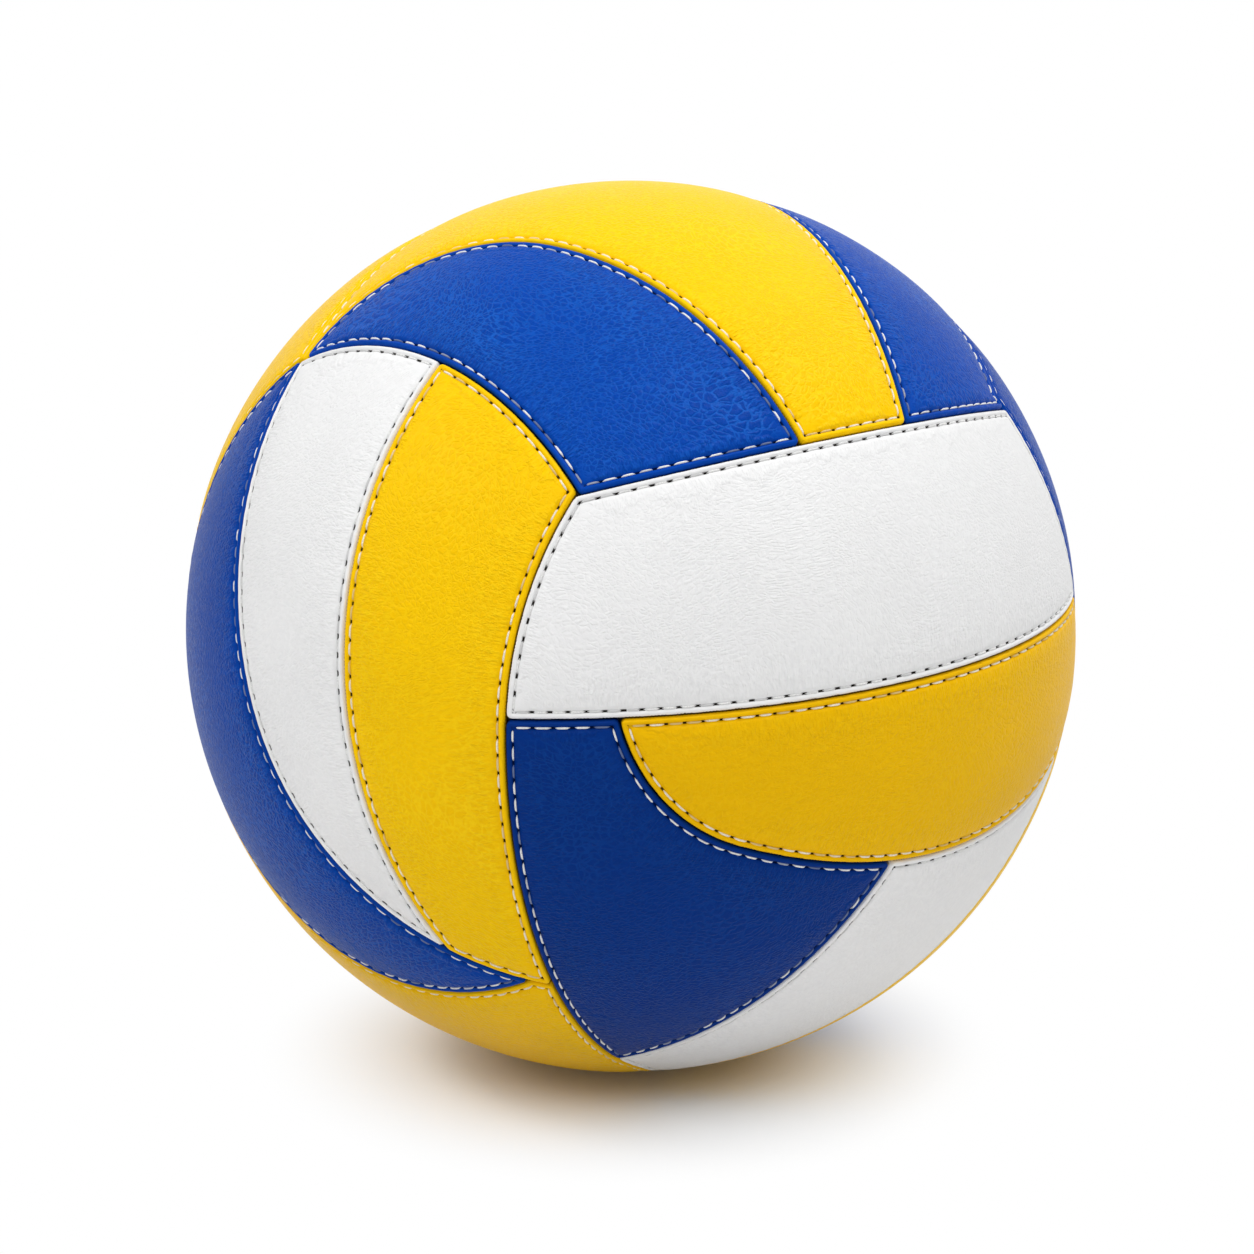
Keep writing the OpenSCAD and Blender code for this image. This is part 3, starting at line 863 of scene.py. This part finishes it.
def weave(name):
    """Woven cloth: threads of two directions that cross."""
    n = Nodes(name)
    inputs = {"Vector": n.place(), "Scale": 260.0, "Distortion": 0.3}
    warp, weft = [
        n.add("ShaderNodeTexWave", inputs, bands_direction=way).outputs["Fac"] for way in ("X", "Z")
    ]
    cross = n.times(warp, weft)
    tone = n.mix(cross, (0.05, 0.05, 0.055, 1.0), (0.13, 0.13, 0.135, 1.0))
    return n.surface(tone, 0.85, cross, 0.5, 0.0003)


# Each leather: its tone, a darker tone for the clouds and for painted shade, a lighter tone for painted
# highlights, the painted shade in its stitch holes, the holes' length, the share of painted highlight on
# the ridges and the bump's strength
LEATHER = {
    "blue": leather(
        "leather_blue", colour=(0.0003, 0.058, 0.4, 1.0), dark=(0.0001, 0.02, 0.15, 1.0),
        light=(0.01, 0.12, 0.56, 1.0), hole_shade=(0.0005, 0.006, 0.05, 1.0),
        hole_length=0.13, ridge_highlight_share=0.75, grain=0.9,
    ),
    "yellow": leather(
        "leather_yellow", colour=(0.98, 0.6, 0.001, 1.0), dark=(0.8, 0.42, 0.0005, 1.0),
        light=(1.0, 0.7, 0.01, 1.0), hole_shade=(0.03, 0.017, 0.004, 1.0),
        hole_length=0.1, ridge_highlight_share=0.5, grain=0.8,
    ),
    "white": leather(
        "leather_white", colour=grey(0.86), dark=(0.72, 0.72, 0.73, 1.0),
        light=grey(0.9), hole_shade=(0.02, 0.016, 0.014, 1.0),
        hole_length=0.17, ridge_highlight_share=0.3, grain=0.6,
    ),
}
# Each thread: its own tone, and the duller tone that paints shade on some stitches
THREAD = {
    "blue": thread_material("thread_on_blue", (0.92, 0.92, 0.9, 1.0), (0.12, 0.16, 0.3, 1.0)),
    "yellow": thread_material("thread_on_yellow", (0.93, 0.88, 0.72, 1.0), (0.7, 0.52, 0.2, 1.0)),
    "white": thread_material("thread_on_white", (0.86, 0.86, 0.85, 1.0), grey(0.6)),
}
for panel_name, panel_colour, panel_zone in panel_zones():
    build_stitches(panel_name, panel_colour, build_panel(panel_name, panel_colour, panel_zone))

VALVE_RUBBER = rubber("valve_rubber", (0.018, 0.018, 0.019, 1.0))
CAD_LOOKS = {
    "lining": weave("lining_cloth"),
    "bladder": rubber("bladder_rubber", grey(0.03)),
    "valve_housing": VALVE_RUBBER,
    "valve_core": VALVE_RUBBER,
    "valve_collar": VALVE_RUBBER,
}
for node_name, look in CAD_LOOKS.items():
    node_mesh = frame["nodes"][node_name].data
    node_mesh.materials.clear()
    node_mesh.materials.append(look)


def floor():
    """A pale floor that takes the ball's shadow, and is white to the camera away from it."""
    size = 6.0
    shadow_from, shadow_to = 0.026, 0.092
    z = cad_box[0][2]
    corners = np.array([(-size, -size, z), (size, -size, z), (size, size, z), (-size, size, z)])
    obj = make_mesh("floor", corners, [(0, 1, 2, 3)], smooth=False)
    n = Nodes("floor")
    flat = n.vector("MULTIPLY", n.place(), (1.0, 1.0, 0.0))
    away = n.add("ShaderNodeVectorMath", {0: flat}, operation="LENGTH").outputs["Value"]
    path = n.add("ShaderNodeLightPath")
    seen = n.maths("MAXIMUM", path.outputs["Is Camera Ray"], path.outputs["Is Glossy Ray"])
    seen = n.maths("MAXIMUM", seen, path.outputs["Is Transmission Ray"])
    tone = n.mix(path.outputs["Is Camera Ray"], grey(0.8), grey(0.95))
    matt = n.add("ShaderNodeBsdfDiffuse", {"Color": tone})
    white = n.add("ShaderNodeEmission", {"Strength": 1.0})
    blend = n.add("ShaderNodeMixShader", {0: n.times(seen, n.ramp(away, shadow_from, shadow_to))})
    n.join(matt.outputs[0], blend.inputs[1])
    n.join(white.outputs[0], blend.inputs[2])
    n.join(blend.outputs[0], n.output.inputs["Surface"])
    obj.data.materials.append(n.material)


def lamp(name, place, size, power):
    """A white disk that shines at the ball's centre."""
    data = bpy.data.lights.new(name, "AREA")
    data.shape = "DISK"
    data.size = size
    data.energy = power
    obj = bpy.data.objects.new(name, data)
    obj.location = place
    obj.rotation_euler = (-Vector(place)).to_track_quat("-Z", "Y").to_euler()
    bpy.context.scene.collection.objects.link(obj)


def world():
    """Even light all round, and white where it is seen or mirrored."""
    w = bpy.data.worlds.new("studio")
    w.use_nodes = True
    tree = w.node_tree
    tree.nodes.clear()

    def add(kind, *inputs, **settings):
        node = tree.nodes.new(kind)
        for key, value in settings.items():
            setattr(node, key, value)
        for socket, value in zip(node.inputs, inputs):
            tree.links.new(value, socket)
        return node

    light, white = add("ShaderNodeBackground"), add("ShaderNodeBackground")
    light.inputs["Color"].default_value = white.inputs["Color"].default_value = grey(1.0)
    light.inputs["Strength"].default_value = WORLD_LIGHT
    white.inputs["Strength"].default_value = 1.0
    path = add("ShaderNodeLightPath").outputs
    seen = path["Is Camera Ray"]
    for ray in ("Is Glossy Ray", "Is Transmission Ray"):
        seen = add("ShaderNodeMath", seen, path[ray], operation="MAXIMUM").outputs[0]
    mix = add("ShaderNodeMixShader", seen, light.outputs[0], white.outputs[0])
    add("ShaderNodeOutputWorld", mix.outputs[0])
    bpy.context.scene.world = w


def camera():
    """The photograph's view, from the front and a little above the ball."""
    elevation = math.radians(CAMERA_ELEVATION)
    distance = CAMERA_DISTANCE_IN_RADII * BALL_RADIUS * MM
    across, down = BALL_CENTRE_PIXEL
    # The lines of sight that touch the ball make a cone, and this is the sine of its half angle
    sine = 1 / CAMERA_DISTANCE_IN_RADII
    focal_pixels = BALL_RADIUS_PIXELS * math.sqrt(1 - sine ** 2) / sine
    data = bpy.data.cameras.new("camera")
    data.sensor_width = 36
    data.lens = focal_pixels / IMAGE_SIDE * data.sensor_width
    data.shift_x = -(across - IMAGE_SIDE / 2) / IMAGE_SIDE
    data.shift_y = (down - IMAGE_SIDE / 2) / IMAGE_SIDE
    obj = bpy.data.objects.new("camera", data)
    obj.location = (0, -distance * math.cos(elevation), distance * math.sin(elevation))
    obj.rotation_euler = (-Vector(obj.location)).to_track_quat("-Z", "Y").to_euler()
    bpy.context.scene.collection.objects.link(obj)
    bpy.context.scene.camera = obj


floor()
world()
for lamp_name, lamp_values in LAMPS.items():
    lamp(lamp_name, *lamp_values)
camera()
bpy.context.scene.view_settings.view_transform = "Standard"
